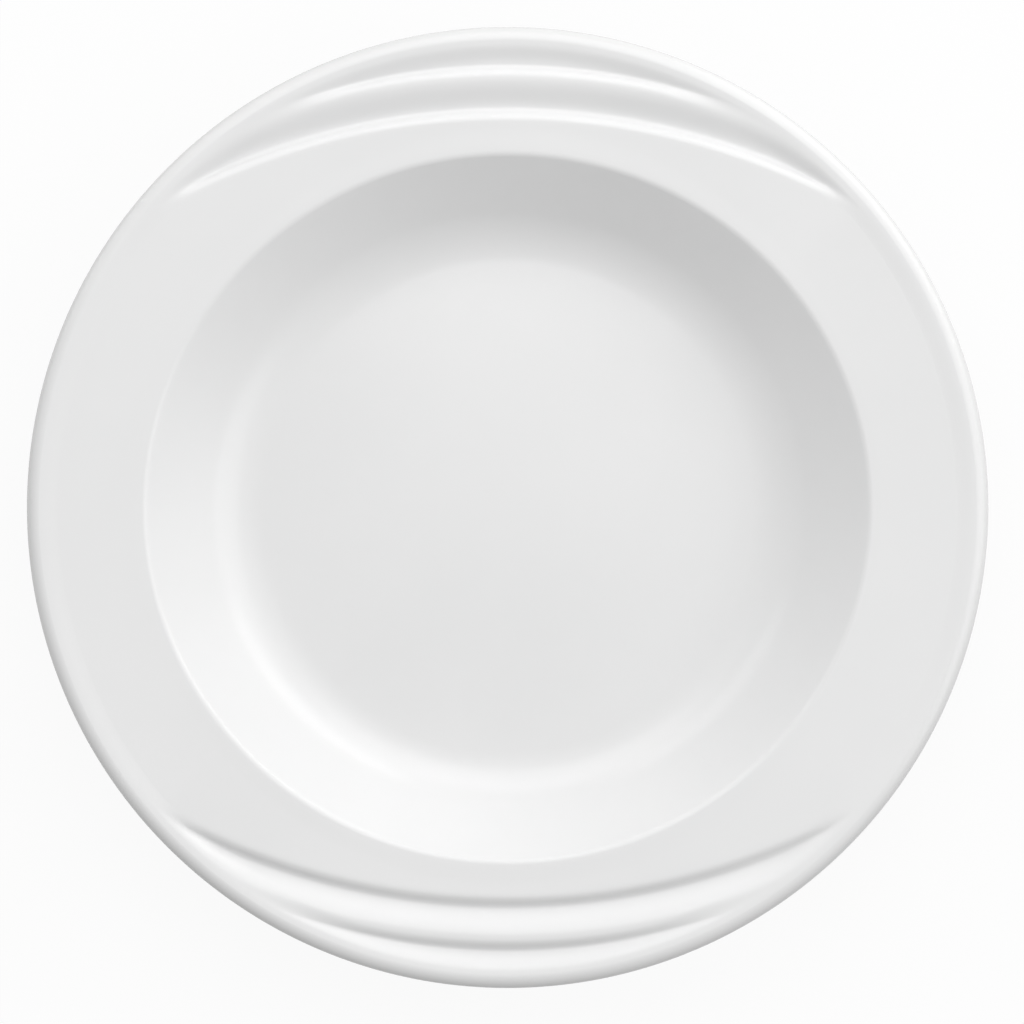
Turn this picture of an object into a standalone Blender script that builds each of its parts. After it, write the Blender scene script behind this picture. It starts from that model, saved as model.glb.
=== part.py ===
"""Deep rimmed plate of white glazed porcelain, with two terraces pressed into each of two sides of its rim.

The plate is one fired piece, so it is one object. Its section is drawn once and spun round Z. Then the
well is drawn in to a slight oval, and the terraces are pressed into the rim's upper face.
Frame: the origin is on the table under the plate's centre, +Z is up, +Y points to a terraced side.
"""
import math

import bmesh
import bpy

MM = 0.001

# Overall
PLATE_DIAMETER = 230 * MM
SPIN_STEPS = 96

# Foot ring and floor
FOOT_HEIGHT = 3.5 * MM
FOOT_WIDTH = 5 * MM
FOOT_CHAMFER = 0.8 * MM
FOOT_OVERHANG = 2 * MM  # how far the foot stands out past the edge of the floor
FLOOR_THICKNESS = 5 * MM
FLOOR_PARTS = 4
FLOOR_FALL = math.radians(6.5)  # slope of the domed floor at its edge

# Well
SIDE_RIM_WIDTH = 28.3 * MM  # from the plate's edge to the well, along X
TERRACE_RIM_WIDTH = 30.5 * MM  # the same along Y, where the terraces are
WELL_DEPTH = 20 * MM  # from the rim to the edge of the floor
COVE_RADIUS = 16 * MM
WALL_FOOT_ANGLE = math.radians(45)
WALL_CURL = math.radians(5)  # how much steeper the wall is at its top
EDGE_RADIUS = 2.4 * MM
OVAL_BLEND = 4 * MM  # width outside the well in which the oval fades to a circle

# Rim and lip
BODY_THICKNESS = 4.9 * MM
UNDER_RADIUS = 6 * MM  # of the hollow underneath, between the wall and the rim
RIM_SLOPE = math.radians(6)
LIP_WIDTH = 3.1 * MM  # from the lip's crest to the plate's edge
LIP_FLARE = 5.2 * MM  # width of the rim's upward turn inside the crest
LIP_RISE = 0.45 * MM
LIP_PARTS = 6
LIP_DIP = 0.8 * MM  # how much lower the lip is in the middle of the terraced sides
DIP_REACH = math.radians(55)  # angle to each side of that middle over which the dip fades

# Terraces, each a shoulder that rounds over to a steep step, a crease and a hollow that runs back up
RIDGE_COUNT = 2
RIDGE_RADIUS = 170 * MM
RIDGE_INSET = 10.1 * MM  # from the plate's edge to the outer step
RIDGE_PITCH = 10.3 * MM  # between steps
TERRACE_GAP = 1.3 * MM  # from where the terraces have run out to the lip's crest
STEP_ANGLE = math.radians(57)  # at its steepest
SHOULDER_WIDTH = 3.2 * MM
SHOULDER_POWER = 4.2  # the higher, the later the shoulder turns down
CREASE_WIDTH = 1.4 * MM
CREASE_POWER = 2.3  # the higher, the sooner the crease flattens out
HOLLOW_WIDTH = 6.5 * MM
HOLLOW_SKEW = 0.8  # below 1, the hollow is steeper near its crease
SHOULDER_PARTS = 4
CREASE_PARTS = 2
HOLLOW_PARTS = 3

# Sizes that follow from those above
PLATE_RADIUS = PLATE_DIAMETER / 2
WELL_RADIUS = PLATE_RADIUS - SIDE_RIM_WIDTH
WELL_OVAL = (TERRACE_RIM_WIDTH - SIDE_RIM_WIDTH) / WELL_RADIUS
WALL_TOP_ANGLE = WALL_FOOT_ANGLE + WALL_CURL
FLOOR_TOP = FOOT_HEIGHT + FLOOR_THICKNESS
EDGE_TOP = FLOOR_TOP + WELL_DEPTH
COVE_RISE = COVE_RADIUS * (math.cos(FLOOR_FALL) - math.cos(WALL_FOOT_ANGLE))
COVE_RUN = COVE_RADIUS * (math.sin(FLOOR_FALL) + math.sin(WALL_FOOT_ANGLE))
EDGE_RISE = EDGE_RADIUS * (math.cos(RIM_SLOPE) - math.cos(WALL_TOP_ANGLE))
WALL_RISE = WELL_DEPTH - COVE_RISE - EDGE_RISE
WALL_RADIUS = WALL_RISE / (math.cos(WALL_FOOT_ANGLE) - math.cos(WALL_TOP_ANGLE))
WALL_RUN = WALL_RADIUS * (math.sin(WALL_TOP_ANGLE) - math.sin(WALL_FOOT_ANGLE))
EDGE_TANGENT = EDGE_RADIUS * math.tan((WALL_TOP_ANGLE - RIM_SLOPE) / 2)
EDGE_START = WELL_RADIUS - EDGE_TANGENT * math.cos(WALL_TOP_ANGLE)
EDGE_END = WELL_RADIUS + EDGE_TANGENT * math.cos(RIM_SLOPE)
FLOOR_RADIUS = EDGE_START - WALL_RUN - COVE_RUN
FLOOR_CROWN = FLOOR_RADIUS * math.tan(FLOOR_FALL) / 2
FOOT_OUTER = FLOOR_RADIUS + FOOT_OVERHANG
FOOT_INNER = FOOT_OUTER - FOOT_WIDTH
CREST_RADIUS = PLATE_RADIUS - LIP_WIDTH
FLARE_START = CREST_RADIUS - LIP_FLARE
RIM_START = WELL_RADIUS + OVAL_BLEND
SHOULDER_DROP = SHOULDER_WIDTH * math.tan(STEP_ANGLE) / SHOULDER_POWER
CREASE_DROP = CREASE_WIDTH * math.tan(STEP_ANGLE) / CREASE_POWER
CREST_LINE = EDGE_TOP + (CREST_RADIUS - EDGE_END) * math.tan(RIM_SLOPE)
LIP_BOTTOM = CREST_LINE - BODY_THICKNESS / math.cos(RIM_SLOPE)
LIP_TOP = CREST_LINE + LIP_RISE
COVE_CENTRE = (
    FLOOR_RADIUS + COVE_RADIUS * math.sin(FLOOR_FALL),
    FLOOR_TOP + COVE_RADIUS * math.cos(FLOOR_FALL),
)


def smooth(share):
    """Ease from 0 to 1, level at both ends."""
    share = min(max(share, 0), 1)
    return share * share * (3 - 2 * share)


def arc(centre, radius, start, end, parts):
    """Points of an arc whose slope runs from start to end. A negative radius has its centre underneath."""
    points = []
    for index in range(parts + 1):
        slope = start + (end - start) * index / parts
        points.append((centre[0] + radius * math.sin(slope), centre[1] - radius * math.cos(slope)))
    return points


def shifted(point, distance, slope):
    """The point moved square to a face of this slope, downwards for a positive distance."""
    return (point[0] + distance * math.sin(slope), point[1] - distance * math.cos(slope))


def floor_height(radius):
    """The floor's upper face, a shallow dome."""
    return FLOOR_TOP + FLOOR_CROWN * (1 - (radius / FLOOR_RADIUS) ** 2)


def rim_line(radius):
    return EDGE_TOP + (radius - EDGE_END) * math.tan(RIM_SLOPE)


def rim_height(radius):
    """The rim's upper face before the terraces: a straight slope with a small flare at the lip."""
    return rim_line(radius) + LIP_RISE * smooth((radius - FLARE_START) / LIP_FLARE)


def lip_dip(angle):
    """How much lower the lip is at an angle round the plate."""
    off_middle = math.acos(min(abs(math.sin(angle)), 1))
    return LIP_DIP * (1 - smooth(off_middle / DIP_REACH))


def ridge_line(ridge):
    """The distance from the plate's centre to a step, along Y."""
    return PLATE_RADIUS - RIDGE_INSET - RIDGE_PITCH * (RIDGE_COUNT - 1 - ridge)


def step_drop(past):
    """How far a step takes the rim down at a distance past its steepest line."""
    if past < 0:
        return SHOULDER_DROP * (max(past + SHOULDER_WIDTH, 0) / SHOULDER_WIDTH) ** SHOULDER_POWER
    to_bottom = max(1 - past / CREASE_WIDTH, 0)
    return SHOULDER_DROP + CREASE_DROP * (1 - to_bottom ** CREASE_POWER)


def hollow_rise(past):
    """How far the hollow past a step has come back up."""
    share = min(max(past - CREASE_WIDTH, 0) / HOLLOW_WIDTH, 1)
    return (SHOULDER_DROP + CREASE_DROP) * smooth(share ** HOLLOW_SKEW)


def terrace_drop(x, y):
    """How far the rim's upper face is pressed down at a place. The last hollow runs up into the lip."""
    drop = 0
    for ridge in range(RIDGE_COUNT):
        past = math.hypot(x, abs(y) + RIDGE_RADIUS - ridge_line(ridge)) - RIDGE_RADIUS
        drop += step_drop(past)
        if ridge < RIDGE_COUNT - 1:
            drop -= hollow_rise(past)
    lip_share = smooth((math.hypot(x, y) + TERRACE_GAP - FLARE_START) / LIP_FLARE)
    return drop * (1 - lip_share) + lip_dip(math.atan2(y, x)) * lip_share


def rim_marks(angle):
    """How far out each shoulder's start, step and crease lie at an angle, and then the lip's crest."""
    spans = 3 * RIDGE_COUNT + 1
    narrowest = min(LIP_FLARE, CREST_RADIUS - RIM_START) / spans
    marks = [RIM_START]
    for ridge in range(RIDGE_COUNT):
        behind = RIDGE_RADIUS - ridge_line(ridge)
        for past in (-SHOULDER_WIDTH, 0, CREASE_WIDTH):
            reach = (RIDGE_RADIUS + past) ** 2 - (behind * math.cos(angle)) ** 2
            radius = math.sqrt(max(reach, 0)) - behind * abs(math.sin(angle))
            farthest = CREST_RADIUS - narrowest * (spans - len(marks))
            marks.append(min(max(radius, marks[-1] + narrowest), farthest))
    return marks[1:] + [CREST_RADIUS]


def rim_radii(angle):
    """Distances from the centre, at an angle, of the edge loops that follow the terraces."""
    parts = (SHOULDER_PARTS, CREASE_PARTS, HOLLOW_PARTS) * RIDGE_COUNT
    marks = rim_marks(angle)
    radii = []
    for near, far, count in zip(marks, marks[1:], parts):
        for index in range(count):
            radii.append(near + (far - near) * index / count)
    return radii


def upper_section():
    """The upper face from the centre of the floor to the start of the terraces, as radius and height."""
    wall_centre = shifted(COVE_CENTRE, COVE_RADIUS - WALL_RADIUS, WALL_FOOT_ANGLE)
    wall = arc(wall_centre, WALL_RADIUS, WALL_FOOT_ANGLE, WALL_TOP_ANGLE, 4)
    edge_centre = shifted(wall[-1], EDGE_RADIUS, WALL_TOP_ANGLE)
    points = []
    for part in range(FLOOR_PARTS):
        radius = FLOOR_RADIUS * part / FLOOR_PARTS
        points.append((radius, floor_height(radius)))
    points += arc(COVE_CENTRE, COVE_RADIUS, -FLOOR_FALL, WALL_FOOT_ANGLE, 4)
    points += wall[1:]
    points += arc(edge_centre, -EDGE_RADIUS, WALL_TOP_ANGLE, RIM_SLOPE, 4)[1:]
    points.append((RIM_START, rim_height(RIM_START)))
    return points


def terrace_section():
    """The rim between that and the lip's crest, where the terraces lie at their widest."""
    points = []
    for radius in rim_radii(math.pi / 2):
        points.append((radius, rim_height(radius)))
    return points


def lip_section():
    """The lip's rounded edge, from its crest to the rim's under face."""
    points = []
    for index in range(LIP_PARTS + 1):
        turn = math.pi * index / LIP_PARTS
        height = LIP_BOTTOM + (LIP_TOP - LIP_BOTTOM) * (1 + math.cos(turn)) / 2
        points.append((CREST_RADIUS + LIP_WIDTH * math.sin(turn), height))
    return points


def under_section():
    """The under face from the rim to the centre, at the body's thickness, with the foot ring."""
    wall_centre = shifted(COVE_CENTRE, COVE_RADIUS - WALL_RADIUS, WALL_FOOT_ANGLE)
    out = EDGE_END - wall_centre[0]
    up = EDGE_TOP - wall_centre[1]
    below_rim = BODY_THICKNESS + UNDER_RADIUS
    along = out * math.cos(RIM_SLOPE) + up * math.sin(RIM_SLOPE)
    above = up * math.cos(RIM_SLOPE) - out * math.sin(RIM_SLOPE) - below_rim
    run = math.sqrt((WALL_RADIUS + below_rim) ** 2 - above ** 2) - along
    rim_place = (EDGE_END + run * math.cos(RIM_SLOPE), EDGE_TOP + run * math.sin(RIM_SLOPE))
    under_centre = shifted(rim_place, below_rim, RIM_SLOPE)
    wall_end = math.atan2(under_centre[0] - wall_centre[0], wall_centre[1] - under_centre[1])
    outer_cove = COVE_RADIUS + BODY_THICKNESS
    foot_slope = math.asin((FOOT_OUTER - COVE_CENTRE[0]) / outer_cove)
    points = arc(under_centre, -UNDER_RADIUS, RIM_SLOPE, wall_end, 4)
    points += arc(wall_centre, WALL_RADIUS + BODY_THICKNESS, wall_end, WALL_FOOT_ANGLE, 3)[1:]
    points += arc(COVE_CENTRE, outer_cove, WALL_FOOT_ANGLE, foot_slope, 2)[1:]
    points += [
        (FOOT_OUTER, FOOT_CHAMFER),
        (FOOT_OUTER - FOOT_CHAMFER, 0),
        (FOOT_INNER + FOOT_CHAMFER, 0),
        (FOOT_INNER, FOOT_CHAMFER),
    ]
    for part in range(FLOOR_PARTS, -1, -1):
        radius = FOOT_INNER * part / FLOOR_PARTS
        points.append((radius, floor_height(radius) - FLOOR_THICKNESS))
    return points


def draw_in(radius):
    """The share of the well's oval that a place takes: all at the well's edge, none at the foot."""
    if radius < WELL_RADIUS:
        return smooth((radius - FOOT_OUTER) / (WELL_RADIUS - FOOT_OUTER))
    return 1 - smooth((radius - WELL_RADIUS) / OVAL_BLEND)


def shape_vertex(vertex, rim_loop):
    """Move a spun vertex to its place in the oval well, on the lip or, on a numbered loop, on the rim."""
    angle = math.atan2(vertex.co.y, vertex.co.x)
    if rim_loop < 0:
        radius = math.hypot(vertex.co.x, vertex.co.y)
        vertex.co.y *= 1 - WELL_OVAL * draw_in(radius)
        if radius > CREST_RADIUS - 0.001 * MM:
            vertex.co.z -= lip_dip(angle) * (vertex.co.z - LIP_BOTTOM) / (LIP_TOP - LIP_BOTTOM)
        return
    radius = rim_radii(angle)[rim_loop]
    vertex.co.x = radius * math.cos(angle)
    vertex.co.y = radius * math.sin(angle)
    vertex.co.z = rim_height(radius) - terrace_drop(vertex.co.x, vertex.co.y)


def glazed_porcelain():
    material = bpy.data.materials.new("white_glazed_porcelain")
    material.use_nodes = True
    shader = material.node_tree.nodes["Principled BSDF"]
    shader.inputs["Base Color"].default_value = (0.83, 0.83, 0.83, 1)
    shader.inputs["Roughness"].default_value = 0.15
    shader.inputs["Metallic"].default_value = 0
    return material


def make_plate(collection):
    upper = upper_section()
    terraces = terrace_section()
    section = upper + terraces + lip_section() + under_section()

    plate = bmesh.new()
    loop_layer = plate.verts.layers.int.new("rim_loop")
    line = []
    for index, (radius, height) in enumerate(section):
        vertex = plate.verts.new((radius, 0, height))
        rim_loop = index - len(upper)
        vertex[loop_layer] = rim_loop if 0 <= rim_loop < len(terraces) else -1
        line.append(vertex)
    for start, end in zip(line, line[1:]):
        plate.edges.new((start, end))

    bmesh.ops.spin(
        plate,
        geom=plate.verts[:] + plate.edges[:],
        cent=(0, 0, 0),
        axis=(0, 0, 1),
        angle=math.tau,
        steps=SPIN_STEPS,
        use_merge=True,
    )
    bmesh.ops.remove_doubles(plate, verts=plate.verts, dist=0.001 * MM)
    for vertex in plate.verts:
        shape_vertex(vertex, vertex[loop_layer])
    plate.verts.layers.int.remove(loop_layer)
    bmesh.ops.recalc_face_normals(plate, faces=plate.faces)

    mesh = bpy.data.meshes.new("plate")
    plate.to_mesh(mesh)
    plate.free()
    mesh.shade_smooth()
    mesh.set_sharp_from_angle(angle=math.radians(40))
    mesh.materials.append(glazed_porcelain())
    collection.objects.link(bpy.data.objects.new("plate", mesh))


for old in list(bpy.data.objects):
    bpy.data.objects.remove(old, do_unlink=True)
deep_plate = bpy.data.collections.new("deep_plate")
bpy.context.scene.collection.children.link(deep_plate)
make_plate(deep_plate)
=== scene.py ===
"""Looks of a deep rimmed plate: one piece of white glazed porcelain on a white table, seen from above."""
import math

import bmesh
import bpy
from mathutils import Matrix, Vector


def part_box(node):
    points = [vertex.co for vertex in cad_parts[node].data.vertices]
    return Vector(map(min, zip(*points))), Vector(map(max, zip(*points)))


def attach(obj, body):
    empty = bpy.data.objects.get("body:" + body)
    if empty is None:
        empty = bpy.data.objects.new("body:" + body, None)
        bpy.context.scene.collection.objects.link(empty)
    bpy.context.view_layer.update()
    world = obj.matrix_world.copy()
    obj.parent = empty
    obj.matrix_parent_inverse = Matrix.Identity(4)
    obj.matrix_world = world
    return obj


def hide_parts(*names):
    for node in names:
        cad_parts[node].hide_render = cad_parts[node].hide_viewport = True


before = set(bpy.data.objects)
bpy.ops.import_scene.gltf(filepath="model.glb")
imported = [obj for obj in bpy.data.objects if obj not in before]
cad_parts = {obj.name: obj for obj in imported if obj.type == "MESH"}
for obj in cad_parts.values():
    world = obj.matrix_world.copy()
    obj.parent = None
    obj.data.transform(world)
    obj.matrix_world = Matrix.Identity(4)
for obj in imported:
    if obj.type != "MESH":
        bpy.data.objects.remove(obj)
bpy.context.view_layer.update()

MM = 0.001


# Porcelain body
# A real plate of this kind is one blank of porcelain clay, pressed on a turning mould and fired.
# Its floor, coved well, rim and rounded lip are one turned section, and the terraces come from the mould.
low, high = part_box("plate")
PLATE_RADIUS = (high.x - low.x) / 2
PLATE_HEIGHT = high.z
TURN_STEPS = 384

FOOT_HEIGHT = 3.5 * MM
FOOT_WIDTH = 5 * MM
FOOT_ROUND = 0.8 * MM
FOOT_OVERHANG = 2 * MM
FLOOR_THICKNESS = 5 * MM
FLOOR_FALL = math.radians(6.5)
SIDE_RIM_WIDTH = 28.3 * MM
TERRACE_RIM_WIDTH = 30.5 * MM
WELL_DEPTH = 20 * MM
COVE_RADIUS = 16 * MM
WALL_FOOT_SLOPE = math.radians(45)
WALL_TOP_SLOPE = math.radians(50)
EDGE_RADIUS = 2.4 * MM
OVAL_BLEND = 4 * MM
BODY_THICKNESS = 4.9 * MM
UNDER_RADIUS = 6 * MM
RIM_SLOPE = math.radians(6)
LIP_WIDTH = 3.1 * MM
LIP_FLARE = 5.2 * MM
LIP_RISE = 0.45 * MM
LIP_DIP = 0.8 * MM
DIP_REACH = math.radians(55)

WELL_RADIUS = PLATE_RADIUS - SIDE_RIM_WIDTH
WELL_OVAL = (TERRACE_RIM_WIDTH - SIDE_RIM_WIDTH) / WELL_RADIUS
FLOOR_TOP = FOOT_HEIGHT + FLOOR_THICKNESS
EDGE_TOP = FLOOR_TOP + WELL_DEPTH
COVE_RISE = COVE_RADIUS * (math.cos(FLOOR_FALL) - math.cos(WALL_FOOT_SLOPE))
COVE_RUN = COVE_RADIUS * (math.sin(FLOOR_FALL) + math.sin(WALL_FOOT_SLOPE))
EDGE_RISE = EDGE_RADIUS * (math.cos(RIM_SLOPE) - math.cos(WALL_TOP_SLOPE))
WALL_RISE = WELL_DEPTH - COVE_RISE - EDGE_RISE
WALL_RADIUS = WALL_RISE / (math.cos(WALL_FOOT_SLOPE) - math.cos(WALL_TOP_SLOPE))
WALL_RUN = WALL_RADIUS * (math.sin(WALL_TOP_SLOPE) - math.sin(WALL_FOOT_SLOPE))
EDGE_TANGENT = EDGE_RADIUS * math.tan((WALL_TOP_SLOPE - RIM_SLOPE) / 2)
EDGE_START = WELL_RADIUS - EDGE_TANGENT * math.cos(WALL_TOP_SLOPE)
EDGE_END = WELL_RADIUS + EDGE_TANGENT * math.cos(RIM_SLOPE)
FLOOR_RADIUS = EDGE_START - WALL_RUN - COVE_RUN
FLOOR_CROWN = FLOOR_RADIUS * math.tan(FLOOR_FALL) / 2
FOOT_OUTER = FLOOR_RADIUS + FOOT_OVERHANG
FOOT_INNER = FOOT_OUTER - FOOT_WIDTH
CREST_RADIUS = PLATE_RADIUS - LIP_WIDTH
FLARE_START = CREST_RADIUS - LIP_FLARE
RIM_START = WELL_RADIUS + OVAL_BLEND

RIDGE_COUNT = 2
RIDGE_RADIUS = 170 * MM
RIDGE_INSET = 10.1 * MM
RIDGE_PITCH = 10.3 * MM
TERRACE_GAP = 1.3 * MM
STEP_ANGLE = math.radians(57)
SHOULDER_WIDTH = 3.2 * MM
CREASE_WIDTH = 1.4 * MM
HOLLOW_WIDTH = 6.5 * MM
HOLLOW_SKEW = 0.8
SHOULDER_POWER = 4.2
CREASE_POWER = 2.3
SHOULDER_DROP = SHOULDER_WIDTH * math.tan(STEP_ANGLE) / SHOULDER_POWER
CREASE_DROP = CREASE_WIDTH * math.tan(STEP_ANGLE) / CREASE_POWER

FLOOR_LOOPS = 10
COVE_LOOPS = 14
WALL_LOOPS = 12
EDGE_LOOPS = 8
BLEND_LOOPS = 6
RIM_LOOPS = (14, 8, 14) * RIDGE_COUNT
LIP_LOOPS = 18
UNDER_RIM_LOOPS = 12
UNDER_WALL_LOOPS = 10
UNDER_COVE_LOOPS = 6
FOOT_LOOPS = 5
RECESS_LOOPS = 4
WELD_DISTANCE = 0.0005 * MM


def ease(share):
    """From 0 to 1, level at both ends."""
    share = min(max(share, 0), 1)
    return share * share * (3 - 2 * share)


def curve_of_slopes(centre, radius, start, end, parts):
    """Section points of an arc whose slope runs from start to end; a negative radius bulges upwards."""
    points = []
    for index in range(parts + 1):
        slope = start + (end - start) * index / parts
        points.append((centre[0] + radius * math.sin(slope), centre[1] - radius * math.cos(slope)))
    return points


def below_face(point, distance, slope):
    """The point moved square to a face of this slope, downwards."""
    return (point[0] + distance * math.sin(slope), point[1] - distance * math.cos(slope))


def rim_line(radius):
    """The height of the rim's straight upper face."""
    return EDGE_TOP + (radius - EDGE_END) * math.tan(RIM_SLOPE)


def rim_height(radius):
    """The height of the rim's upper face with the lip's rise, before the terraces are pressed in."""
    return rim_line(radius) + LIP_RISE * ease((radius - FLARE_START) / LIP_FLARE)


def lip_dip(angle):
    """How much lower the lip is at an angle round the plate."""
    off_middle = math.acos(min(abs(math.sin(angle)), 1))
    return LIP_DIP * (1 - ease(off_middle / DIP_REACH))


def ridge_line(ridge):
    """The distance from the plate's centre to a terrace's step, along Y."""
    return PLATE_RADIUS - RIDGE_INSET - RIDGE_PITCH * (RIDGE_COUNT - 1 - ridge)


def step_drop(past):
    """How far a step takes the rim down at a distance past its steepest line."""
    if past < 0:
        return SHOULDER_DROP * (max(past + SHOULDER_WIDTH, 0) / SHOULDER_WIDTH) ** SHOULDER_POWER
    to_bottom = max(1 - past / CREASE_WIDTH, 0)
    return SHOULDER_DROP + CREASE_DROP * (1 - to_bottom ** CREASE_POWER)


def hollow_rise(past):
    """How far the hollow past a step has come back up."""
    share = min(max(past - CREASE_WIDTH, 0) / HOLLOW_WIDTH, 1)
    return (SHOULDER_DROP + CREASE_DROP) * ease(share ** HOLLOW_SKEW)


def terrace_drop(x, y):
    """How far the mould presses the rim down at a place; the last hollow runs up into the lip."""
    drop = 0
    for ridge in range(RIDGE_COUNT):
        past = math.hypot(x, abs(y) + RIDGE_RADIUS - ridge_line(ridge)) - RIDGE_RADIUS
        drop += step_drop(past)
        if ridge < RIDGE_COUNT - 1:
            drop -= hollow_rise(past)
    lip_share = ease((math.hypot(x, y) + TERRACE_GAP - FLARE_START) / LIP_FLARE)
    return drop * (1 - lip_share) + lip_dip(math.atan2(y, x)) * lip_share


def rim_radii(angle):
    """How far out the rim's loops run at an angle: on each shoulder, step and crease, and between."""
    spans = len(RIM_LOOPS) + 1
    narrowest = LIP_FLARE / spans
    marks = [RIM_START]
    for ridge in range(RIDGE_COUNT):
        behind = RIDGE_RADIUS - ridge_line(ridge)
        for past in (-SHOULDER_WIDTH, 0, CREASE_WIDTH):
            reach = (RIDGE_RADIUS + past) ** 2 - (behind * math.cos(angle)) ** 2
            radius = math.sqrt(reach) - behind * abs(math.sin(angle))
            farthest = CREST_RADIUS - narrowest * (spans - len(marks))
            marks.append(min(max(radius, marks[-1] + narrowest), farthest))
    marks.append(CREST_RADIUS)
    radii = []
    for near, far, count in zip(marks[1:], marks[2:], RIM_LOOPS):
        for index in range(count):
            radii.append(near + (far - near) * index / count)
    return radii


def floor_height(radius):
    """The floor's upper face, a shallow dome."""
    return FLOOR_TOP + FLOOR_CROWN * (1 - (radius / FLOOR_RADIUS) ** 2)


cove_centre = below_face((FLOOR_RADIUS, FLOOR_TOP), -COVE_RADIUS, -FLOOR_FALL)
wall_centre = below_face(cove_centre, COVE_RADIUS - WALL_RADIUS, WALL_FOOT_SLOPE)
well_wall = curve_of_slopes(wall_centre, WALL_RADIUS, WALL_FOOT_SLOPE, WALL_TOP_SLOPE, WALL_LOOPS)
edge_centre = below_face(well_wall[-1], EDGE_RADIUS, WALL_TOP_SLOPE)

section = []
for index in range(FLOOR_LOOPS):
    radius = FLOOR_RADIUS * index / FLOOR_LOOPS
    section.append((radius, floor_height(radius)))
section += curve_of_slopes(cove_centre, COVE_RADIUS, -FLOOR_FALL, WALL_FOOT_SLOPE, COVE_LOOPS)
section += well_wall[1:]
section += curve_of_slopes(edge_centre, -EDGE_RADIUS, WALL_TOP_SLOPE, RIM_SLOPE, EDGE_LOOPS)[1:]
for index in range(1, BLEND_LOOPS + 1):
    radius = EDGE_END + (RIM_START - EDGE_END) * index / BLEND_LOOPS
    section.append((radius, rim_height(radius)))
first_rim_loop = len(section)
for radius in rim_radii(math.pi / 2):
    section.append((radius, rim_height(radius)))
last_rim_loop = len(section) - 1

lip_numbers = range(len(section), len(section) + LIP_LOOPS + 1)
crest_height = rim_height(CREST_RADIUS)
lip_bottom = rim_line(CREST_RADIUS) - BODY_THICKNESS / math.cos(RIM_SLOPE)
for index in range(LIP_LOOPS + 1):
    turn = math.pi * index / LIP_LOOPS
    height = (crest_height + lip_bottom) / 2 + (crest_height - lip_bottom) / 2 * math.cos(turn)
    section.append((CREST_RADIUS + LIP_WIDTH * math.sin(turn), height))

# The bend under the rim touches the under faces of the rim and of the wall, which places its centre.
out = EDGE_END - wall_centre[0]
up = EDGE_TOP - wall_centre[1]
below_rim = BODY_THICKNESS + UNDER_RADIUS
along = out * math.cos(RIM_SLOPE) + up * math.sin(RIM_SLOPE)
above = up * math.cos(RIM_SLOPE) - out * math.sin(RIM_SLOPE) - below_rim
run = math.sqrt((WALL_RADIUS + below_rim) ** 2 - above ** 2) - along
rim_place = (EDGE_END + run * math.cos(RIM_SLOPE), EDGE_TOP + run * math.sin(RIM_SLOPE))
under_centre = below_face(rim_place, below_rim, RIM_SLOPE)
wall_end = math.atan2(under_centre[0] - wall_centre[0], wall_centre[1] - under_centre[1])
outer_cove = COVE_RADIUS + BODY_THICKNESS
foot_slope = math.asin((FOOT_OUTER - cove_centre[0]) / outer_cove)
section += curve_of_slopes(under_centre, -UNDER_RADIUS, RIM_SLOPE, wall_end, UNDER_RIM_LOOPS)
outer_wall = WALL_RADIUS + BODY_THICKNESS
section += curve_of_slopes(wall_centre, outer_wall, wall_end, WALL_FOOT_SLOPE, UNDER_WALL_LOOPS)[1:]
section += curve_of_slopes(cove_centre, outer_cove, WALL_FOOT_SLOPE, foot_slope, UNDER_COVE_LOOPS)[1:]
outer_round = (FOOT_OUTER - FOOT_ROUND, FOOT_ROUND)
inner_round = (FOOT_INNER + FOOT_ROUND, FOOT_ROUND)
section += curve_of_slopes(outer_round, FOOT_ROUND, math.pi / 2, 0, FOOT_LOOPS)
section += curve_of_slopes(inner_round, FOOT_ROUND, 0, -math.pi / 2, FOOT_LOOPS)
recess_round = (FOOT_INNER - FOOT_ROUND, floor_height(FOOT_INNER) - FLOOR_THICKNESS - FOOT_ROUND)
section += curve_of_slopes(recess_round, -FOOT_ROUND, -math.pi / 2, -FLOOR_FALL, RECESS_LOOPS)
for index in range(FLOOR_LOOPS, -1, -1):
    radius = (FOOT_INNER - 2 * FOOT_ROUND) * index / FLOOR_LOOPS
    section.append((radius, floor_height(radius) - FLOOR_THICKNESS))

body = bmesh.new()
loop_number = body.verts.layers.int.new("loop_number")
outline = []
for index, (radius, height) in enumerate(section):
    vertex = body.verts.new((radius, 0, height))
    vertex[loop_number] = index
    outline.append(vertex)
for start, end in zip(outline, outline[1:]):
    body.edges.new((start, end))
bmesh.ops.spin(
    body, geom=body.verts[:] + body.edges[:], cent=(0, 0, 0), axis=(0, 0, 1),
    angle=math.tau, steps=TURN_STEPS, use_merge=True,
)
bmesh.ops.remove_doubles(body, verts=body.verts, dist=WELD_DISTANCE)
for vertex in body.verts:
    place = vertex.co
    if first_rim_loop <= vertex[loop_number] <= last_rim_loop:
        angle = math.atan2(place.y, place.x)
        radius = rim_radii(angle)[vertex[loop_number] - first_rim_loop]
        place.x = radius * math.cos(angle)
        place.y = radius * math.sin(angle)
        place.z = rim_height(radius) - terrace_drop(place.x, place.y)
    else:
        radius = math.hypot(place.x, place.y)
        if radius < WELL_RADIUS:
            drawn = ease((radius - FOOT_OUTER) / (WELL_RADIUS - FOOT_OUTER))
        else:
            drawn = 1 - ease((radius - WELL_RADIUS) / OVAL_BLEND)
        if vertex[loop_number] in lip_numbers:
            angle = math.atan2(place.y, place.x)
            place.z -= lip_dip(angle) * (place.z - lip_bottom) / (crest_height - lip_bottom)
        place.y *= 1 - WELL_OVAL * drawn
body.verts.layers.int.remove(loop_number)
bmesh.ops.recalc_face_normals(body, faces=body.faces)

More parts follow.
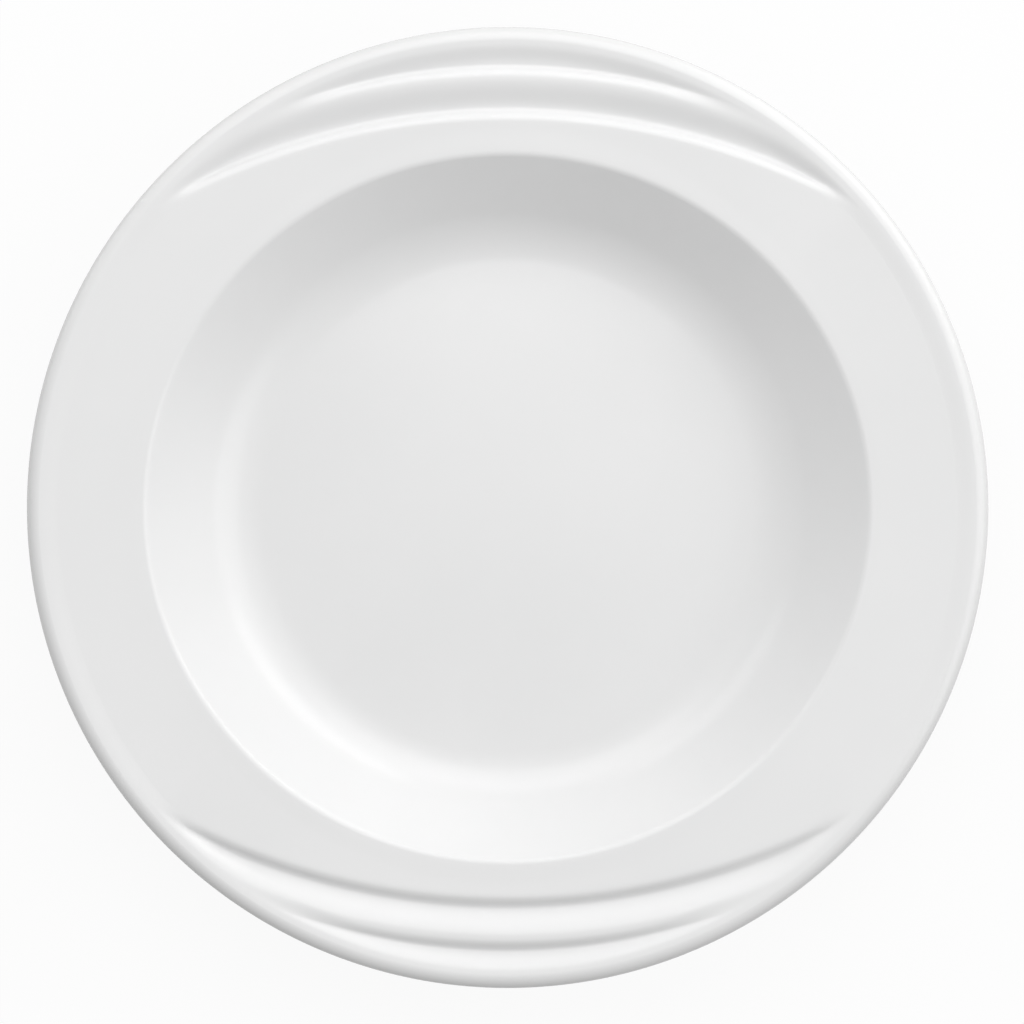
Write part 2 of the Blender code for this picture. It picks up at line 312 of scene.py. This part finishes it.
plate_mesh = bpy.data.meshes.new("glazed_plate")
body.to_mesh(plate_mesh)
body.free()
plate_mesh.shade_smooth()
glazed_plate = bpy.data.objects.new("glazed_plate", plate_mesh)
bpy.context.scene.collection.objects.link(glazed_plate)

# Glaze
# A clear gloss glaze is fused over the white body, and the rounded edge of the lip is painted a little
# darker as painted shade. The glaze is wiped off the foot before the last firing, so a matt ring of bare,
# slightly creamy porcelain shows there.
GLAZED_WHITE = (0.85, 0.85, 0.85, 1)
POOLED_WHITE = (0.835, 0.836, 0.836, 1)
SHADED_LIP_WHITE = (0.77, 0.77, 0.767, 1)
BARE_WHITE = (0.74, 0.72, 0.68, 1)
BARE_HEIGHT = 0.5 * MM
BARE_WAVER = 0.15 * MM
BARE_FADE = 0.12 * MM
BARE_GRAIN_SHARE = 0.94
BARE_ROUGHNESS = 0.75
GLOSSIEST = 0.2
DULLEST = 0.26
RIPPLE_STRENGTH = 0.04
RIPPLE_HEIGHT = 0.1 * MM
WAVERS_PER_METRE = 240
POOLS_PER_METRE = 22
GRAINS_PER_METRE = 5200
GLOSS_PATCHES_PER_METRE = 35
RIPPLES_PER_METRE = 420
NOISE_RANGE = (0.3, 0.7)
POOL_RANGE = (0.35, 0.65)
glaze = bpy.data.materials.new("white_glaze")
glaze.use_nodes = True
nodes = glaze.node_tree.nodes
links = glaze.node_tree.links
shader = nodes["Principled BSDF"]
object_place = nodes.new("ShaderNodeTexCoord").outputs["Object"]


def noise(patches_per_metre, detail):
    """Cloudy noise fixed to the plate, from 0 to 1."""
    texture = nodes.new("ShaderNodeTexNoise")
    texture.inputs["Scale"].default_value = patches_per_metre
    texture.inputs["Detail"].default_value = detail
    links.new(object_place, texture.inputs["Vector"])
    return texture.outputs["Fac"]


def mapped(value, old_range, new_range):
    """The value carried from one range to another, and held at its ends."""
    ramp = nodes.new("ShaderNodeMapRange")
    for name, number in zip(("From Min", "From Max", "To Min", "To Max"), old_range + new_range):
        ramp.inputs[name].default_value = number
    links.new(value, ramp.inputs["Value"])
    return ramp.outputs["Result"]


def blend(share, first, second):
    """From the first colour to the second as the share goes from 0 to 1."""
    mix = nodes.new("ShaderNodeMix")
    mix.data_type = "RGBA"
    links.new(share, mix.inputs["Factor"])
    for socket, colour in ((mix.inputs["A"], first), (mix.inputs["B"], second)):
        if isinstance(colour, tuple):
            socket.default_value = colour
        else:
            links.new(colour, socket)
    return mix.outputs["Result"]


def total(first, second):
    """The sum of two values."""
    add = nodes.new("ShaderNodeMath")
    add.operation = "ADD"
    links.new(first, add.inputs[0])
    links.new(second, add.inputs[1])
    return add.outputs["Value"]


split = nodes.new("ShaderNodeSeparateXYZ")
links.new(object_place, split.inputs["Vector"])
waver = mapped(noise(WAVERS_PER_METRE, detail=2), NOISE_RANGE, (-BARE_WAVER, BARE_WAVER))
wavering_height = total(split.outputs["Z"], waver)
bare = mapped(wavering_height, (BARE_HEIGHT, BARE_HEIGHT - BARE_FADE), (0, 1))
thickness = mapped(noise(POOLS_PER_METRE, detail=3), POOL_RANGE, (0, 1))
grain = mapped(noise(GRAINS_PER_METRE, detail=2), NOISE_RANGE, (0, 1))
grain_colour = tuple(BARE_GRAIN_SHARE * part for part in BARE_WHITE[:3]) + (1,)
bare_colour = blend(grain, BARE_WHITE, grain_colour)
flattened = nodes.new("ShaderNodeVectorMath")
flattened.operation = "MULTIPLY"
flattened.inputs[1].default_value = (1, 1, 0)
links.new(object_place, flattened.inputs[0])
from_middle = nodes.new("ShaderNodeVectorMath")
from_middle.operation = "LENGTH"
links.new(flattened.outputs["Vector"], from_middle.inputs[0])
# Painted shade: the colour darkens from the lip's crest out to its rounded edge.
painted_lip_shade = mapped(from_middle.outputs["Value"], (CREST_RADIUS, PLATE_RADIUS), (0, 1))
glaze_colour = blend(painted_lip_shade, blend(thickness, GLAZED_WHITE, POOLED_WHITE), SHADED_LIP_WHITE)
links.new(blend(bare, glaze_colour, bare_colour), shader.inputs["Base Color"])
gloss_patches = noise(GLOSS_PATCHES_PER_METRE, detail=4)
glaze_roughness = mapped(gloss_patches, NOISE_RANGE, (GLOSSIEST, DULLEST))
roughness = nodes.new("ShaderNodeMix")
links.new(bare, roughness.inputs["Factor"])
links.new(glaze_roughness, roughness.inputs["A"])
roughness.inputs["B"].default_value = BARE_ROUGHNESS
links.new(roughness.outputs["Result"], shader.inputs["Roughness"])
ripple = nodes.new("ShaderNodeBump")
ripple.inputs["Strength"].default_value = RIPPLE_STRENGTH
ripple.inputs["Distance"].default_value = RIPPLE_HEIGHT
links.new(noise(RIPPLES_PER_METRE, detail=2), ripple.inputs["Height"])
links.new(ripple.outputs["Normal"], shader.inputs["Normal"])
plate_mesh.materials.append(glaze)
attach(glazed_plate, "root")
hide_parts("plate")


# Table
# A plain white table top under soft studio light. The camera sees it as white paper with a trace of the
# plate's shadow. On to the plate it throws little light back, so that the lip stays dark along its edge.
WHITE_SHARE = 0.92
BOARD_WHITE = (0.9, 0.9, 0.9, 1)
BOUNCE_GREY = (0.35, 0.35, 0.35, 1)
TABLE_REACH = 6
table = bmesh.new()
bmesh.ops.create_grid(table, x_segments=1, y_segments=1, size=TABLE_REACH)
table_mesh = bpy.data.meshes.new("table_top")
table.to_mesh(table_mesh)
table.free()
table_top = bpy.data.objects.new("table_top", table_mesh)
bpy.context.scene.collection.objects.link(table_top)
board = bpy.data.materials.new("white_board")
board.use_nodes = True
board_nodes = board.node_tree.nodes
board_links = board.node_tree.links
matt = board_nodes["Principled BSDF"]
matt.inputs["Roughness"].default_value = 1
matt.inputs["Specular IOR Level"].default_value = 0
paper = board_nodes.new("ShaderNodeEmission")


def in_view(tree):
    """1 for what the camera sees, also in gloss or through glass, and 0 for light thrown on to surfaces."""
    ray = tree.nodes.new("ShaderNodeLightPath")
    share = ray.outputs["Is Camera Ray"]
    for name in ("Is Glossy Ray", "Is Transmission Ray"):
        either = tree.nodes.new("ShaderNodeMath")
        either.operation = "MAXIMUM"
        tree.links.new(share, either.inputs[0])
        tree.links.new(ray.outputs[name], either.inputs[1])
        share = either.outputs["Value"]
    return share


seen = in_view(board.node_tree)
board_colour = board_nodes.new("ShaderNodeMix")
board_colour.data_type = "RGBA"
board_colour.inputs["A"].default_value = BOUNCE_GREY
board_colour.inputs["B"].default_value = BOARD_WHITE
board_links.new(seen, board_colour.inputs["Factor"])
board_links.new(board_colour.outputs["Result"], matt.inputs["Base Color"])
paper_share = board_nodes.new("ShaderNodeMath")
paper_share.operation = "MULTIPLY"
paper_share.inputs[1].default_value = WHITE_SHARE
board_links.new(seen, paper_share.inputs[0])
look = board_nodes.new("ShaderNodeMixShader")
board_links.new(paper_share.outputs["Value"], look.inputs["Fac"])
board_links.new(matt.outputs["BSDF"], look.inputs[1])
board_links.new(paper.outputs["Emission"], look.inputs[2])
board_links.new(look.outputs["Shader"], board_nodes["Material Output"].inputs["Surface"])
table_mesh.materials.append(board)


# Light
# Large soft panels stand beyond the plate and to its right, two of them low, as in a light tent that
# is open towards the viewer, and a pale room fills the rest.
PANEL_WIDTH = 0.8
PANEL_DISTANCE = 0.9
ROOM_STRENGTH = 0.48
ROOM_STRENGTH_IN_VIEW = 1


def soft_panel(name, bearing, height, watts):
    """A round soft lamp that faces the plate, at a bearing round it and a height in degrees."""
    lamp = bpy.data.lights.new(name, "AREA")
    lamp.shape = "DISK"
    lamp.size = PANEL_WIDTH
    lamp.energy = watts
    lamp.cycles.use_multiple_importance_sampling = False
    holder = bpy.data.objects.new(name, lamp)
    bpy.context.scene.collection.objects.link(holder)
    across = math.cos(math.radians(height))
    direction = Vector((
        math.cos(math.radians(bearing)) * across,
        math.sin(math.radians(bearing)) * across,
        math.sin(math.radians(height)),
    ))
    holder.location = direction * PANEL_DISTANCE
    holder.rotation_euler = direction.to_track_quat("Z", "Y").to_euler()


soft_panel("key_panel", bearing=90, height=54, watts=2.3)
soft_panel("side_panel", bearing=0, height=42, watts=1.6)
soft_panel("low_right_panel", bearing=45, height=18, watts=2.9)
soft_panel("low_left_panel", bearing=135, height=18, watts=1.5)
room = bpy.data.worlds.new("pale_room")
bpy.context.scene.world = room
room.use_nodes = True
background = room.node_tree.nodes["Background"]
background.inputs["Color"].default_value = (1, 1, 1, 1)
room_strength = room.node_tree.nodes.new("ShaderNodeMapRange")
room_strength.inputs["To Min"].default_value = ROOM_STRENGTH
room_strength.inputs["To Max"].default_value = ROOM_STRENGTH_IN_VIEW
room.node_tree.links.new(in_view(room.node_tree), room_strength.inputs["Value"])
room.node_tree.links.new(room_strength.outputs["Result"], background.inputs["Strength"])


# Camera
# It looks straight down on the plate from a metre above the rim.
# The terraced sides are at the top and bottom of the picture.
CAMERA_DISTANCE = 1.0
SENSOR_WIDTH = 36
PICTURE_SIZE = 1024
PLATE_RADIUS_PIXELS = 482
PLATE_CENTRE_PIXEL = (507.6, 507.5)
metres_per_pixel = PLATE_RADIUS / PLATE_RADIUS_PIXELS
lens = bpy.data.cameras.new("camera")
lens.sensor_width = SENSOR_WIDTH
lens.lens = SENSOR_WIDTH * CAMERA_DISTANCE / (metres_per_pixel * PICTURE_SIZE)
camera = bpy.data.objects.new("camera", lens)
bpy.context.scene.collection.objects.link(camera)
camera.location = (
    (PICTURE_SIZE / 2 - PLATE_CENTRE_PIXEL[0]) * metres_per_pixel,
    (PLATE_CENTRE_PIXEL[1] - PICTURE_SIZE / 2) * metres_per_pixel,
    PLATE_HEIGHT + CAMERA_DISTANCE,
)
bpy.context.scene.camera = camera
bpy.context.scene.view_settings.view_transform = "Standard"
